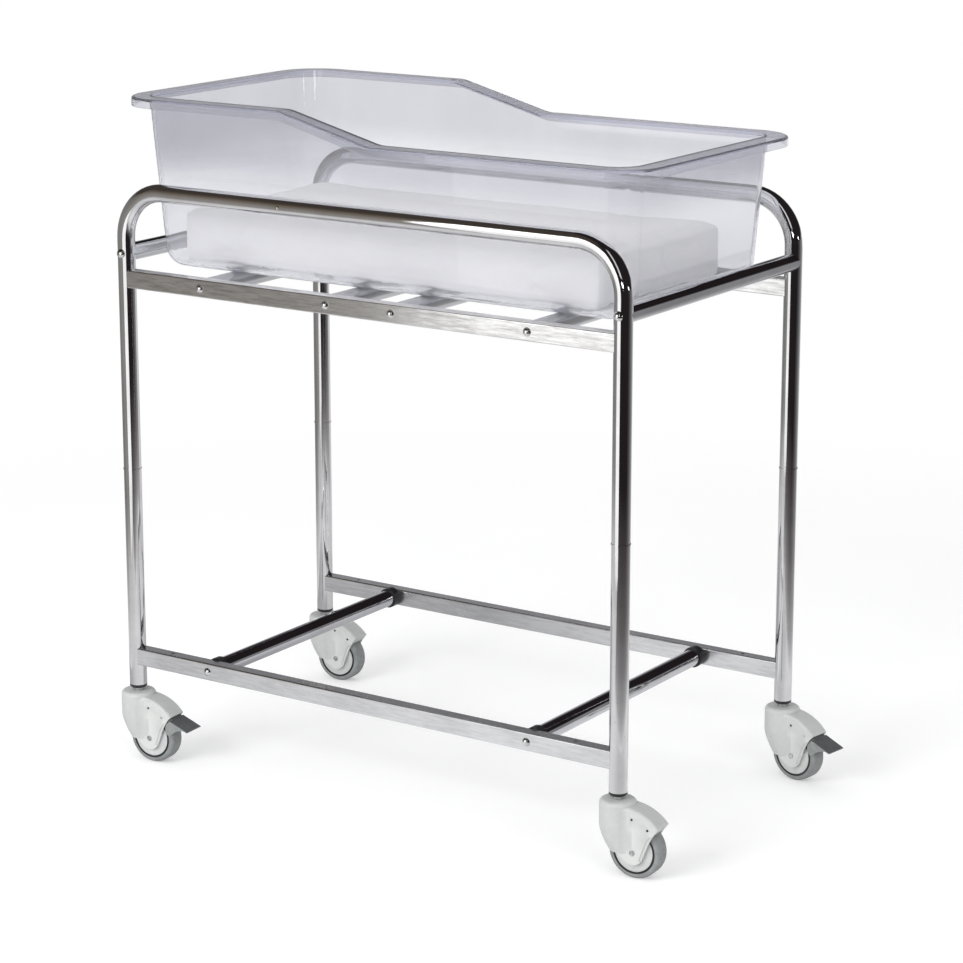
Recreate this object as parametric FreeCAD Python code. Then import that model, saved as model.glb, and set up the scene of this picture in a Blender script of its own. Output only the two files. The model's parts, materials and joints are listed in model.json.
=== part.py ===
import FreeCAD, Part
import math
import os

# Hospital bassinet: a clear tub with a mattress, set in a chromed tube stand on four castors.
# X runs along the length with the head end at -X, Y runs across with the front side at -Y, and
# Z is up from the floor. The origin is on the floor, under the middle of the bassinet's box.
# Every size is in millimetres.

Vector = FreeCAD.Vector
Y_AXIS = Vector(0, 1, 0)
Z_AXIS = Vector(0, 0, 1)

# ---- Stand: round tube legs and cross tubes, flat sided rails ----
LEG_SPACING_X = 814.0       # between leg axes, along the stand
LEG_SPACING_Y = 454.0       # between leg axes, across the stand
TUBE_D = 25.0               # every round tube
TUBE_WALL = 1.5
HOOP_TOP_Z = 835.3          # centre line of the hoop's level top
HOOP_BEND_R = 67.5          # centre line of the hoop's bends
SEAM_Z = {"head_front": 433.6, "foot_front": 446.9, "head_rear": 413.3, "foot_rear": 452.7}
SEAM_RING_T = 2.0           # ring between the upper and the lower leg tube
SEAM_RING_PROUD = 0.7
SLEEVE_LENGTH = 80.0        # inner sleeve that joins the two leg tubes
SLEEVE_WALL = 2.0

RAIL_HEIGHT = 25.0
RAIL_WIDTH = 20.0
RAIL_WALL = 1.5
RAIL_CORNER_R = 1.8         # outer corner of the drawn rail section
END_TUBE_DROP = 21.8        # from the lower end of the hoops' bends to the axis of the end tubes
TRAY_DROP = 36.0            # from the end tubes' axis to that of the tray rails and tray tubes
TRAY_TUBE_INSET = 138.0     # from the legs to the outer tray tubes
TRAY_TUBE_PAIR_X = 54.0     # the inner tray tubes, each side of the middle
BASE_Z = 155.5              # axis of the base rails and of the base tubes
BASE_TUBE_INSET = 137.0     # from the legs to the base tubes
BASE_COLLAR_WALL = 2.5      # plastic collar at each end of a base tube
BASE_COLLAR_LENGTH = 12.0
SHELF_HOLE_INSET = 66.0     # from the legs to the screw holes for a shelf, on top of the base rails
SHELF_HOLE_D = 5.0

# ---- Fasteners ----
RAIL_BOLT_D = 6.0
RAIL_BOLT_HEAD_D = 12.0
RAIL_BOLT_HEAD_H = 4.5
END_BOLT_D = 8.0
END_BOLT_HEAD_D = 13.0
END_BOLT_HEAD_H = 5.0
BOLT_GRIP = 15.0            # length of bolt inside its threaded insert
HOOP_STUDS = (("front", 209.5), ("rear", 3.5), ("rear", 609.5))  # along from the head bend's end
STUD_D = 3.0
STUD_HEAD_D = 5.5
STUD_HEAD_H = 1.8
STUD_LENGTH = 4.0
INSERT_LENGTH = 20.0
BOLT_HOLE_CLEARANCE = 0.2   # on the radius
INSIDE_CLEARANCE = 0.1      # on the radius, for a plug or a sleeve inside a tube

# ---- Castors: (along, up) places are from the axle, along the trail and up ----
WHEEL_R = 37.5
TYRE_WIDTH = 25.0
TYRE_THICKNESS = 7.5
TYRE_SHOULDER_R = 5.0
HUB_GROOVE = 2.0            # between the tyre and the raised face of the hub
HUB_FACE_RISE = 0.8         # the hub face stands proud towards its middle
HUB_SEAT_WIDTH = 20.0
HUB_BOSS_R = 12.0
HUB_LEDGE = 2.0             # step that the wheel bearings seat on
WHEEL_BEARING_D = 16.0
WHEEL_BEARING_WIDTH = 5.0
AXLE_D = 8.0
AXLE_PROUD = 0.6            # axle end outside the cheek
TRAIL = 30.0                # swivel axis to wheel centre
RUNNING_CLEARANCE = 0.05    # on the radius, between a shaft and its bearing
AXIAL_CLEARANCE = 0.3
SWIVEL_ANGLE = {"head_front": 4.0, "foot_front": 4.0, "head_rear": 4.0, "foot_rear": -9.0}
BRAKED = ("head_front", "foot_rear")

BOSS_R = 25.0               # round head of the housing
BOSS_TOP_Z = 102.5
BOSS_ROUND = 5.5
LEAN_START_DROP = 34.0      # below the boss top, the head starts to lean towards the wheel
LEAN_HEIGHT = 34.0
LEAN_SHIFT = 9.5
LEAN_SHIFT_POWER = 1.6      # how gently the lean and its taper start
LEAN_TAPER_POWER = 1.5
LEAN_END_OVER = 1.8         # how much wider than the cheeks the head still is at its lower end
LEAN_SECTIONS = 5
BLEND_R = 14.0              # hollow between the round head and the flat cheeks
FENDER_DROP = 6.5           # from the boss top to the fender's top line at the swivel axis
FENDER_MIDDLE = (21.0, 50.5)
FENDER_TIP = (37.0, 37.0)
FENDER_ROUND = 5.0
FENDER_WALL = 2.8           # over the pedal's pocket
FRONT_UPPER = (26.5, 22.5)  # the cheek's hollow front edge runs through these
FRONT_LOWER = (18.5, 4.0)
CHEEK_TIP_R = 16.5          # rounded foot of the cheek, about the axle
CHEEK_TIP_START = -35.0     # degrees up from the trail
CHEEK_TIP_END = -130.0
BACK_LOWER = (-22.0, -4.5)  # the cheek's back edge
BACK_UPPER = 4.0            # its upper end, up from the axle at the swivel axis
CHEEK_WALL = 2.2            # beside the pedal's arm
FRONT_BAND = 4.0            # thinner border along the cheek's front edge
FRONT_BAND_DEPTH = 0.8
FRONT_BAND_TOP = 27.0       # up from the axle
WELL_CLEARANCE = 3.0        # wheel well round the tyre's tread
WELL_SIDE_CLEARANCE = 1.2   # wheel well beside the tyre
PIN_HOLES = ((-1.0, 45.6), (22.0, 34.7))
PIN_HOLE_D = 3.6
PIN_HOLE_DEPTH = 1.8
SWIVEL_BEARING_D = 22.0
SWIVEL_BEARING_H = 9.0
SWIVEL_BEARING_COVER = 6.0  # housing above the swivel bearing
STEM_D = 11.0
STEM_SHOW = 4.3             # bare stem between the housing and the collar
STEM_SHOULDER_D = 15.5
STEM_HEAD_D = 16.0
STEM_HEAD_H = 4.0
STEM_GRIP = 30.0            # length of stem and collar inside the leg
COLLAR_HEIGHT = 5.2
COLLAR_BEVEL = 2.4          # on the collar's lower edge

# ---- Brake pedal, with the same places from the axle ----
PEDAL_PIVOT = (17.0, 43.0)
PEDAL_PIN_D = 4.0
PEDAL_PIN_SEAT = 1.2        # depth of the pin's ends in the cheeks
PEDAL_BOSS_R = 4.4
PEDAL_POCKET_CLEARANCE = 0.5
PEDAL_POCKET_INNER_R = 22.5
PEDAL_POCKET_BACK = 3.0     # the pocket starts this far along from the axle
PEDAL_ARM_T = 2.4
PEDAL_ARM_GAP = 0.6         # between the tyre's side and the pedal's arm
PEDAL_CHEEK_GAP = 0.3       # between the pedal's arm and the cheek
PEDAL_PLATE_INSET = 0.5     # the foot plate is narrower than the cheeks, each side
PEDAL_PLATE_T = 3.0
PEDAL_LIP_T = 1.2           # the plate thins down to this at its tip
PEDAL_PLATE_BACK = (35.0, 31.5)
PEDAL_PLATE_TIP = (66.0, 19.3)
PEDAL_NECK_T = 5.0
PEDAL_ARM_SHOULDER = (31.0, 28.0)
PEDAL_ARM_REACH = 30.0      # the arm follows the plate this far from its back
PEDAL_ARM_HOLLOW = (48.0, 17.5)
PEDAL_FOOT_FRONT = (37.5, 10.5)
PEDAL_FOOT_LOW = (32.0, 8.5)
PEDAL_FOOT_BACK = (27.5, 11.5)
PEDAL_ARM_BACK = (26.8, 20.0)
BRAKE_PAD_GAP = 4.0         # between the tread and the pad, pedal up
BRAKE_PAD_T = 4.0
BRAKE_PAD_START = 24.0      # where the pad starts and ends, along the trail from the axle
BRAKE_PAD_END = 31.0

# ---- Tub ----
TUB_CENTRE_X = -3.0
TUB_WALL = 4.0
TUB_END_GAP = 11.5          # from the end tubes to the tub's floor, with the tub in their middle
TUB_SIDE_GAP = 30.0         # from the rails to the tub's floor
TUB_FLARE_X = 17.0          # how much the walls lean out up to the high rim, each end
TUB_FLARE_Y = 12.0
TUB_CORNER_R = 40.0
TUB_FLOOR_EDGE_R = 30.0
RIM_LIP_CLEARANCE = 64.8    # from the hoops' tops to the lip of the low rim
RIM_RISE = 38.0             # from the low rim to the high rim
RIM_SLOPE_X = (-138.0, 10.0)  # where the sloping stretch of the rim starts and ends
RIM_SLOPE_R = 60.0
RIM_END_WIDTH = 25.0        # from the wall's outside to the rim's outer edge
RIM_SIDE_WIDTH = 26.0
RIM_LIP_HEIGHT = 13.0
RIM_EDGE_R = 3.5
TUB_SEAT_GAP = 0.3          # between the tray tubes and the tub

# ---- Mattress ----
MATTRESS_HEIGHT = 76.0
MATTRESS_CORNER_R = 25.0
MATTRESS_EDGE_R = 9.0
MATTRESS_GAP = 0.3          # between the tub's floor and the mattress
MATTRESS_SIDE_PLAY = 1.0    # past the rounded floor edge of the tub
MATTRESS_HEAD_PLAY = 0.5
MATTRESS_FOOT_PLAY = 24.5

# ---- Sizes that follow ----
TUBE_R = TUBE_D / 2
TUBE_BORE_R = TUBE_R - TUBE_WALL
LEG_X = {"head": -LEG_SPACING_X / 2, "foot": LEG_SPACING_X / 2}
LEG_Y = {"front": -LEG_SPACING_Y / 2, "rear": LEG_SPACING_Y / 2}
CORNERS = [(end, side) for side in LEG_Y for end in LEG_X]
RAIL_INNER_Y = LEG_SPACING_Y / 2 - RAIL_WIDTH / 2
RAIL_OUTER_Y = LEG_SPACING_Y / 2 + RAIL_WIDTH / 2
END_TUBE_Z = HOOP_TOP_Z - HOOP_BEND_R - END_TUBE_DROP
TRAY_Z = END_TUBE_Z - TRAY_DROP
TRAY_TUBE_OUTER_X = LEG_SPACING_X / 2 - TRAY_TUBE_INSET
TRAY_TUBE_X = (-TRAY_TUBE_OUTER_X, -TRAY_TUBE_PAIR_X, TRAY_TUBE_PAIR_X, TRAY_TUBE_OUTER_X)
BASE_TUBE_X = (BASE_TUBE_INSET - LEG_SPACING_X / 2, LEG_SPACING_X / 2 - BASE_TUBE_INSET)
SHELF_HOLE_X = LEG_SPACING_X / 2 - SHELF_HOLE_INSET

AXLE_POINT = Vector(TRAIL, 0, WHEEL_R)
COLLAR_FOOT_Z = BOSS_TOP_Z + STEM_SHOW
LEG_END_Z = COLLAR_FOOT_Z + COLLAR_HEIGHT
HUB_R = WHEEL_R - TYRE_THICKNESS
WELL_R = WHEEL_R + WELL_CLEARANCE
WELL_HALF_WIDTH = TYRE_WIDTH / 2 + WELL_SIDE_CLEARANCE
PEDAL_ARM_IN = TYRE_WIDTH / 2 + PEDAL_ARM_GAP
PEDAL_ARM_OUT = PEDAL_ARM_IN + PEDAL_ARM_T
PEDAL_POCKET_HALF_WIDTH = PEDAL_ARM_OUT + PEDAL_CHEEK_GAP
PEDAL_POCKET_R = math.hypot(*FENDER_TIP) - FENDER_WALL
PEDAL_PIN_HALF_LENGTH = PEDAL_POCKET_HALF_WIDTH + PEDAL_PIN_SEAT
CHEEK_HALF_WIDTH = PEDAL_POCKET_HALF_WIDTH + CHEEK_WALL
LEAN_START_Z = BOSS_TOP_Z - LEAN_START_DROP
SWIVEL_BEARING_Z = BOSS_TOP_Z - SWIVEL_BEARING_COVER - SWIVEL_BEARING_H

TUB_FLOOR_Z = TRAY_Z + TUBE_R + TUB_SEAT_GAP
TUB_FLOOR_HALF_X = LEG_SPACING_X / 2 - TUBE_R - TUB_END_GAP
TUB_FLOOR_HALF_Y = RAIL_INNER_Y - TUB_SIDE_GAP
TUB_TOP_HALF_X = TUB_FLOOR_HALF_X + TUB_FLARE_X
TUB_TOP_HALF_Y = TUB_FLOOR_HALF_Y + TUB_FLARE_Y
RIM_LOW_Z = HOOP_TOP_Z + TUBE_R + RIM_LIP_CLEARANCE + RIM_LIP_HEIGHT
RIM_HIGH_Z = RIM_LOW_Z + RIM_RISE
RIM_HALF_X = TUB_TOP_HALF_X + RIM_END_WIDTH
RIM_HALF_Y = TUB_TOP_HALF_Y + RIM_SIDE_WIDTH
RIM_CORNER_R = TUB_CORNER_R + RIM_SIDE_WIDTH

MATTRESS_Z = TUB_FLOOR_Z + TUB_WALL + MATTRESS_GAP
MATTRESS_INSET = TUB_FLOOR_EDGE_R - MATTRESS_EDGE_R     # from the tub's outside, before the play
MATTRESS_HEAD_X = TUB_CENTRE_X - TUB_FLOOR_HALF_X + MATTRESS_INSET + MATTRESS_HEAD_PLAY
MATTRESS_FOOT_X = TUB_CENTRE_X + TUB_FLOOR_HALF_X - MATTRESS_INSET - MATTRESS_FOOT_PLAY
MATTRESS_HALF_Y = TUB_FLOOR_HALF_Y - MATTRESS_INSET - MATTRESS_SIDE_PLAY

CUT_MARGIN = 20.0           # how far a cutting shape runs past what it cuts
CUT_PAST = 1.0              # the same, inside a thin wall or a narrow gap
SAME_PLACE = 0.1            # edges that lie this close to a place are taken as being there


# ---- General shapes ----
def cylinder(radius, length, base, axis=Z_AXIS):
    return Part.makeCylinder(radius, length, base, axis)


def tube(outer_r, inner_r, length, base, axis=Z_AXIS):
    return cylinder(outer_r, length, base, axis).cut(cylinder(inner_r, length, base, axis))


def across(radius, half_length, x, z, y=0.0):
    """A round bar along Y, the same length each way from y."""
    return cylinder(radius, 2 * half_length, Vector(x, y - half_length, z), Y_AXIS)


def group(shapes):
    """Separate solids kept together as one node."""
    return Part.makeCompound([solid for shape in shapes for solid in shape.Solids])


def arc(start, through, end):
    return Part.Arc(start, through, end).toShape()


def extruded(edges, direction):
    return Part.Face(Part.Wire(edges)).extrude(direction)


def spun(points, base, axis):
    """A solid of revolution from a closed outline of straight sides."""
    return Part.Face(Part.makePolygon(points + points[:1])).revolve(base, axis, 360)


def rounded_rectangle(half_x, half_y, radius, z, centre_x=0.0):
    """A level closed wire, four sides and four round corners."""
    edges = []
    for quarter in range(4):
        sign_x = 1 if quarter in (0, 3) else -1
        sign_y = 1 if quarter in (0, 1) else -1
        centre = Vector(centre_x + sign_x * (half_x - radius), sign_y * (half_y - radius), z)
        start, middle, end = [
            centre + Vector(radius * math.cos(angle), radius * math.sin(angle), 0)
            for angle in (math.pi / 2 * (quarter + step) for step in (0, 0.5, 1))
        ]
        if edges:
            edges.append(Part.makeLine(last, start))
        edges.append(arc(start, middle, end))
        last = end
        if quarter == 0:
            first = start
    edges.append(Part.makeLine(last, first))
    return Part.Wire(edges)


def rounded_prism(half_x, half_y, radius, z_low, z_high, centre_x=0.0):
    face = Part.Face(rounded_rectangle(half_x, half_y, radius, z_low, centre_x))
    return face.extrude(Vector(0, 0, z_high - z_low))


def rounded_path(corners, radius):
    """Edges along straight runs whose inner corners are rounded."""
    edges = []
    start = corners[0]
    for before, corner, after in zip(corners, corners[1:], corners[2:]):
        back = (before - corner).normalize()
        ahead = (after - corner).normalize()
        half_turn = (math.pi - back.getAngle(ahead)) / 2
        setback = radius * math.tan(half_turn)
        to_centre = (back + ahead).normalize()
        middle = corner + to_centre * (radius / math.cos(half_turn) - radius)
        edges.append(Part.makeLine(start, corner + back * setback))
        edges.append(arc(corner + back * setback, middle, corner + ahead * setback))
        start = corner + ahead * setback
    edges.append(Part.makeLine(start, corners[-1]))
    return edges


# ---- Stand ----
def leg_name(end, side):
    return end + "_" + side


def stud_places():
    """The hoops' small rivets, on the faces of their level tops that look to the front."""
    return [(side, LEG_X["head"] + HOOP_BEND_R + along) for side, along in HOOP_STUDS]


def hoop(side):
    """A tube bent to an upside-down U: its two ends are the upper parts of two legs."""
    y = LEG_Y[side]
    feet = {end: SEAM_Z[leg_name(end, side)] + SEAM_RING_T / 2 for end in LEG_X}
    path = Part.Wire(rounded_path([
        Vector(LEG_X["head"], y, feet["head"]),
        Vector(LEG_X["head"], y, HOOP_TOP_Z),
        Vector(LEG_X["foot"], y, HOOP_TOP_Z),
        Vector(LEG_X["foot"], y, feet["foot"]),
    ], HOOP_BEND_R))
    start = Vector(LEG_X["head"], y, feet["head"])
    bars = [path.makePipeShell([Part.Wire(Part.makeCircle(radius, start, Z_AXIS))], True, True)
            for radius in (TUBE_R, TUBE_BORE_R)]
    shape = bars[0].cut(bars[1])
    hole_r = END_BOLT_D / 2 + BOLT_HOLE_CLEARANCE
    holes = [across(hole_r, TUBE_R + CUT_PAST, x, END_TUBE_Z, y) for x in LEG_X.values()]
    stud_hole_r = STUD_D / 2 + BOLT_HOLE_CLEARANCE
    holes += [cylinder(stud_hole_r, TUBE_R, Vector(x, y - TUBE_R - CUT_PAST, HOOP_TOP_Z), Y_AXIS)
              for stud_side, x in stud_places() if stud_side == side]
    return shape.cut(holes)


def lower_leg(end, side):
    length = SEAM_Z[leg_name(end, side)] - SEAM_RING_T / 2 - LEG_END_Z
    return tube(TUBE_R, TUBE_BORE_R, length, Vector(LEG_X[end], LEG_Y[side], LEG_END_Z))


def seam_rings():
    sleeve_r = TUBE_BORE_R - INSIDE_CLEARANCE
    return group([
        tube(TUBE_R + SEAM_RING_PROUD, sleeve_r, SEAM_RING_T,
             Vector(LEG_X[end], LEG_Y[side], SEAM_Z[leg_name(end, side)] - SEAM_RING_T / 2))
        for end, side in CORNERS])


def leg_sleeves():
    sleeve_r = TUBE_BORE_R - INSIDE_CLEARANCE
    return group([
        tube(sleeve_r, sleeve_r - SLEEVE_WALL, SLEEVE_LENGTH,
             Vector(LEG_X[end], LEG_Y[side], SEAM_Z[leg_name(end, side)] - SLEEVE_LENGTH / 2))
        for end, side in CORNERS])


def leg_cutters(side, z_low, z_high):
    """The two legs of one side as solid bars, to shape the ends of what is welded to them."""
    return [cylinder(TUBE_R, z_high - z_low, Vector(x, LEG_Y[side], z_low)) for x in LEG_X.values()]


def rail(side, z):
    """A flat sided hollow rail between two legs, its ends shaped to the round legs."""
    y = LEG_Y[side]
    shells = []
    for inset, corner_r in ((0.0, RAIL_CORNER_R), (RAIL_WALL, RAIL_CORNER_R - RAIL_WALL)):
        section = rounded_rectangle(RAIL_HEIGHT / 2 - inset, RAIL_WIDTH / 2 - inset, corner_r, 0.0)
        bar = Part.Face(section).extrude(Vector(0, 0, LEG_SPACING_X))
        bar.rotate(Vector(0, 0, 0), Y_AXIS, 90)
        bar.translate(Vector(LEG_X["head"], y, z))
        shells.append(bar)
    shape = shells[0].cut(shells[1])
    return shape.cut(leg_cutters(side, z - RAIL_HEIGHT, z + RAIL_HEIGHT))


def bolted_rail(side, z, bolt_x):
    hole_r = RAIL_BOLT_D / 2 + BOLT_HOLE_CLEARANCE
    holes = [across(hole_r, RAIL_WIDTH / 2 + CUT_PAST, x, z, LEG_Y[side]) for x in bolt_x]
    return rail(side, z).cut(holes)


def base_rail(side):
    """The base rail also has a screw hole near each end of its top face."""
    holes = [cylinder(SHELF_HOLE_D / 2, RAIL_HEIGHT, Vector(x, LEG_Y[side], BASE_Z))
             for x in (-SHELF_HOLE_X, SHELF_HOLE_X)]
    return bolted_rail(side, BASE_Z, BASE_TUBE_X).cut(holes)


def cross_tube(x, z):
    """A tube between the inner faces of a pair of rails."""
    return tube(TUBE_R, TUBE_BORE_R, 2 * RAIL_INNER_Y, Vector(x, -RAIL_INNER_Y, z), Y_AXIS)


def end_tube(end):
    """A tube between two legs, its ends shaped to the round legs."""
    x = LEG_X[end]
    shape = tube(TUBE_R, TUBE_BORE_R, LEG_SPACING_Y, Vector(x, -LEG_SPACING_Y / 2, END_TUBE_Z), Y_AXIS)
    legs = [cylinder(TUBE_R, 2 * TUBE_D, Vector(x, y, END_TUBE_Z - TUBE_D)) for y in LEG_Y.values()]
    return shape.cut(legs)


def insert_at(x, z, end_y, bolt_d):
    """A threaded plug in each end of a cross tube; end_y is the face that it lies behind."""
    plugs = []
    for sign in (-1, 1):
        centre_y = sign * (end_y - INSERT_LENGTH / 2)
        plug = across(TUBE_BORE_R - INSIDE_CLEARANCE, INSERT_LENGTH / 2, x, z, centre_y)
        plugs.append(plug.cut(across(bolt_d / 2, INSERT_LENGTH, x, z, centre_y)))
    return group(plugs)


def tube_inserts():
    leg_face_y = LEG_SPACING_Y / 2 - TUBE_R
    return group(
        [insert_at(x, TRAY_Z, RAIL_INNER_Y, RAIL_BOLT_D) for x in TRAY_TUBE_X]
        + [insert_at(x, BASE_Z, RAIL_INNER_Y, RAIL_BOLT_D) for x in BASE_TUBE_X]
        + [insert_at(x, END_TUBE_Z, leg_face_y, END_BOLT_D) for x in LEG_X.values()])


def dome_bolt(x, z, side, seat_y, shank_d, head_d, head_h, length):
    """A bolt with a plain domed head; seat_y is how far out the face under its head is."""
    dome_r = (head_h ** 2 + (head_d / 2) ** 2) / (2 * head_h)
    out = -1 if side == "front" else 1
    seat = Vector(x, out * seat_y, z)
    dome = Part.makeSphere(dome_r, seat + Y_AXIS * (out * (head_h - dome_r)))
    head = dome.common(cylinder(head_d, 2 * dome_r, seat, Y_AXIS * out))
    return head.fuse(cylinder(shank_d / 2, length, seat, Y_AXIS * -out)).removeSplitter()


def rail_bolts(z, bolt_x):
    length = RAIL_WIDTH + BOLT_GRIP
    return group([
        dome_bolt(x, z, side, RAIL_OUTER_Y, RAIL_BOLT_D, RAIL_BOLT_HEAD_D, RAIL_BOLT_HEAD_H, length)
        for side in LEG_Y for x in bolt_x])


def end_bolts():
    seat_y = LEG_SPACING_Y / 2 + TUBE_R
    length = TUBE_D + BOLT_GRIP
    return group([dome_bolt(LEG_X[end], END_TUBE_Z, side, seat_y, END_BOLT_D, END_BOLT_HEAD_D,
                            END_BOLT_HEAD_H, length) for end, side in CORNERS])


def hoop_studs():
    return group([dome_bolt(x, HOOP_TOP_Z, "front", TUBE_R - LEG_Y[side], STUD_D, STUD_HEAD_D,
                            STUD_HEAD_H, STUD_LENGTH) for side, x in stud_places()])


def base_tube_collars():
    outer_r = TUBE_R + BASE_COLLAR_WALL
    return group([
        tube(outer_r, TUBE_R, BASE_COLLAR_LENGTH, Vector(x, y, BASE_Z), Y_AXIS)
        for x in BASE_TUBE_X for y in (-RAIL_INNER_Y, RAIL_INNER_Y - BASE_COLLAR_LENGTH)])


def castor_collar(end, side):
    """A plastic plug in the leg's lower end, with a bevelled collar under it."""
    x, y = LEG_X[end], LEG_Y[side]
    collar = cylinder(TUBE_R, COLLAR_HEIGHT, Vector(x, y, COLLAR_FOOT_Z))
    foot = [edge for edge in collar.Edges if edge.Closed and edge.CenterOfMass.z < COLLAR_FOOT_Z + SAME_PLACE]
    collar = collar.makeChamfer(COLLAR_BEVEL, foot)
    plug = cylinder(TUBE_BORE_R - INSIDE_CLEARANCE, STEM_GRIP, Vector(x, y, LEG_END_Z))
    bore = cylinder(STEM_D / 2, STEM_GRIP + COLLAR_HEIGHT, Vector(x, y, COLLAR_FOOT_Z))
    return collar.fuse(plug).cut(bore)


def castor_stem(end, side):
    """The swivel pin: a grip in the leg, a shoulder over the housing and a riveted head below."""
    x, y = LEG_X[end], LEG_Y[side]
    head_top_z = SWIVEL_BEARING_Z - AXIAL_CLEARANCE
    shoulder_z = BOSS_TOP_Z + AXIAL_CLEARANCE
    shaft = cylinder(STEM_D / 2, LEG_END_Z + STEM_GRIP - head_top_z, Vector(x, y, head_top_z))
    shoulder = cylinder(STEM_SHOULDER_D / 2, COLLAR_FOOT_Z - shoulder_z, Vector(x, y, shoulder_z))
    head = cylinder(STEM_HEAD_D / 2, STEM_HEAD_H, Vector(x, y, head_top_z - STEM_HEAD_H))
    return shaft.fuse([shoulder, head]).removeSplitter()


# ---- Castors, with the swivel axis on Z and the wheel trailing towards +X ----
def at_axle(along, up, y=0.0):
    return AXLE_POINT + Vector(along, y, up)


def about_axle(radius, half_width):
    return across(radius, half_width, AXLE_POINT.x, AXLE_POINT.z)


def side_outline(half_width, edges_at):
    """Extrudes an outline in the wheel's plane to both sides of it."""
    return extruded(edges_at(-half_width), Vector(0, 2 * half_width, 0))


def round_axle(angle, y):
    """The point of the cheek's rounded foot that is angle degrees up from the trail."""
    turn = math.radians(angle)
    return at_axle(CHEEK_TIP_R * math.cos(turn), CHEEK_TIP_R * math.sin(turn), y)


def front_curve(y, back=0.0):
    """The cheek's S-shaped front edge, moved back by the given distance."""
    curve = Part.BSplineCurve()
    places = [at_axle(*FENDER_TIP, y), at_axle(*FRONT_UPPER, y), at_axle(*FRONT_LOWER, y),
              round_axle(CHEEK_TIP_START, y)]
    curve.interpolate([place - Vector(back, 0, 0) for place in places])
    return curve.toShape()


def fender_line(y):
    """The fender's top line, from the swivel axis to its tip."""
    return arc(Vector(0, y, BOSS_TOP_Z - FENDER_DROP), at_axle(*FENDER_MIDDLE, y), at_axle(*FENDER_TIP, y))


def housing_side_edges(y):
    """Side view of fender and cheeks: fender top, front edge, round foot, back."""
    back_top = at_axle(-TRAIL, BACK_UPPER, y)
    foot_start, foot_end = round_axle(CHEEK_TIP_START, y), round_axle(CHEEK_TIP_END, y)
    return [
        fender_line(y),
        front_curve(y),
        arc(foot_start, round_axle((CHEEK_TIP_START + CHEEK_TIP_END) / 2, y), foot_end),
        arc(foot_end, at_axle(*BACK_LOWER, y), back_top),
        Part.makeLine(back_top, Vector(0, y, BOSS_TOP_Z - FENDER_DROP)),
    ]


def head_section(drop):
    """Level section of the head, drop below its straight part: a round back blended into flat cheeks."""
    share = drop / LEAN_HEIGHT
    centre = Vector(LEAN_SHIFT * share ** LEAN_SHIFT_POWER, 0, LEAN_START_Z - drop)
    radius = BOSS_R - (BOSS_R - CHEEK_HALF_WIDTH - LEAN_END_OVER) * share ** LEAN_TAPER_POWER
    blend_y = CHEEK_HALF_WIDTH + BLEND_R
    blend_x = math.sqrt((radius + BLEND_R) ** 2 - blend_y ** 2)
    start_angle = math.atan2(blend_y, blend_x)
    middle_angle = (start_angle + math.pi / 2) / 2
    sides = []
    for sign in (1, -1):
        blend_centre = centre + Vector(blend_x, sign * blend_y, 0)
        on_round = centre + Vector(radius * math.cos(start_angle), sign * radius * math.sin(start_angle), 0)
        middle = blend_centre - Vector(math.cos(middle_angle), sign * math.sin(middle_angle), 0) * BLEND_R
        on_flat = blend_centre - Vector(0, sign * BLEND_R, 0)
        sides.append((on_round, middle, on_flat, Vector(TRAIL, sign * CHEEK_HALF_WIDTH, centre.z)))
    left, right = sides
    return Part.Wire([
        arc(left[0], centre - Vector(radius, 0, 0), right[0]),
        arc(*right[:3]),
        Part.makeLine(right[2], right[3]),
        Part.makeLine(right[3], left[3]),
        Part.makeLine(left[3], left[2]),
        arc(left[2], left[1], left[0]),
    ])


def housing_fender():
    """Cheeks, fender and the shoulders that join them to the head, their long top edges rounded."""
    shoulders = Part.Face(head_section(0.0)).extrude(Vector(0, 0, LEAN_START_DROP))
    shoulders = shoulders.common(side_outline(BOSS_R + CUT_PAST, housing_side_edges))
    shape = shoulders.fuse(side_outline(CHEEK_HALF_WIDTH, housing_side_edges)).removeSplitter()
    top_line = fender_line(0.0).Curve
    long_edges = []
    for edge in shape.Edges:
        middle = edge.valueAt((edge.FirstParameter + edge.LastParameter) / 2)
        middle.y = 0
        on_top = abs(middle.distanceToPoint(top_line.Center) - top_line.Radius) < SAME_PLACE
        if on_top and edge.BoundBox.XLength > edge.BoundBox.YLength:
            long_edges.append(edge)
    return shape.makeFillet(FENDER_ROUND, long_edges)


def housing_head():
    """The round head, straight at its top, leaning towards the wheel below."""
    column = cylinder(BOSS_R, LEAN_START_DROP, Vector(0, 0, LEAN_START_Z))
    rim = [edge for edge in column.Edges if abs(edge.CenterOfMass.z - BOSS_TOP_Z) < SAME_PLACE]
    sections = [head_section(LEAN_HEIGHT * step / LEAN_SECTIONS) for step in range(LEAN_SECTIONS + 1)]
    return column.makeFillet(BOSS_ROUND, rim).fuse(Part.makeLoft(sections, True))


def front_bands():
    """A shallow step along the front edge of each cheek."""
    bands = []
    for sign in (-1, 1):
        y = sign * (CHEEK_HALF_WIDTH - FRONT_BAND_DEPTH)
        front, back = front_curve(y), front_curve(y, FRONT_BAND)
        ends = [Part.makeLine(front.valueAt(at), back.valueAt(at)) for at in (front.FirstParameter,
                                                                              front.LastParameter)]
        band = extruded([front, ends[0], back, ends[1]], Vector(0, sign * CUT_MARGIN, 0))
        below = Part.makeBox(2 * CUT_MARGIN + TRAIL, 2 * CUT_MARGIN, WHEEL_R + FRONT_BAND_TOP,
                             Vector(TRAIL, y if sign > 0 else y - 2 * CUT_MARGIN, 0))
        bands.append(band.common(below))
    return bands


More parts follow.
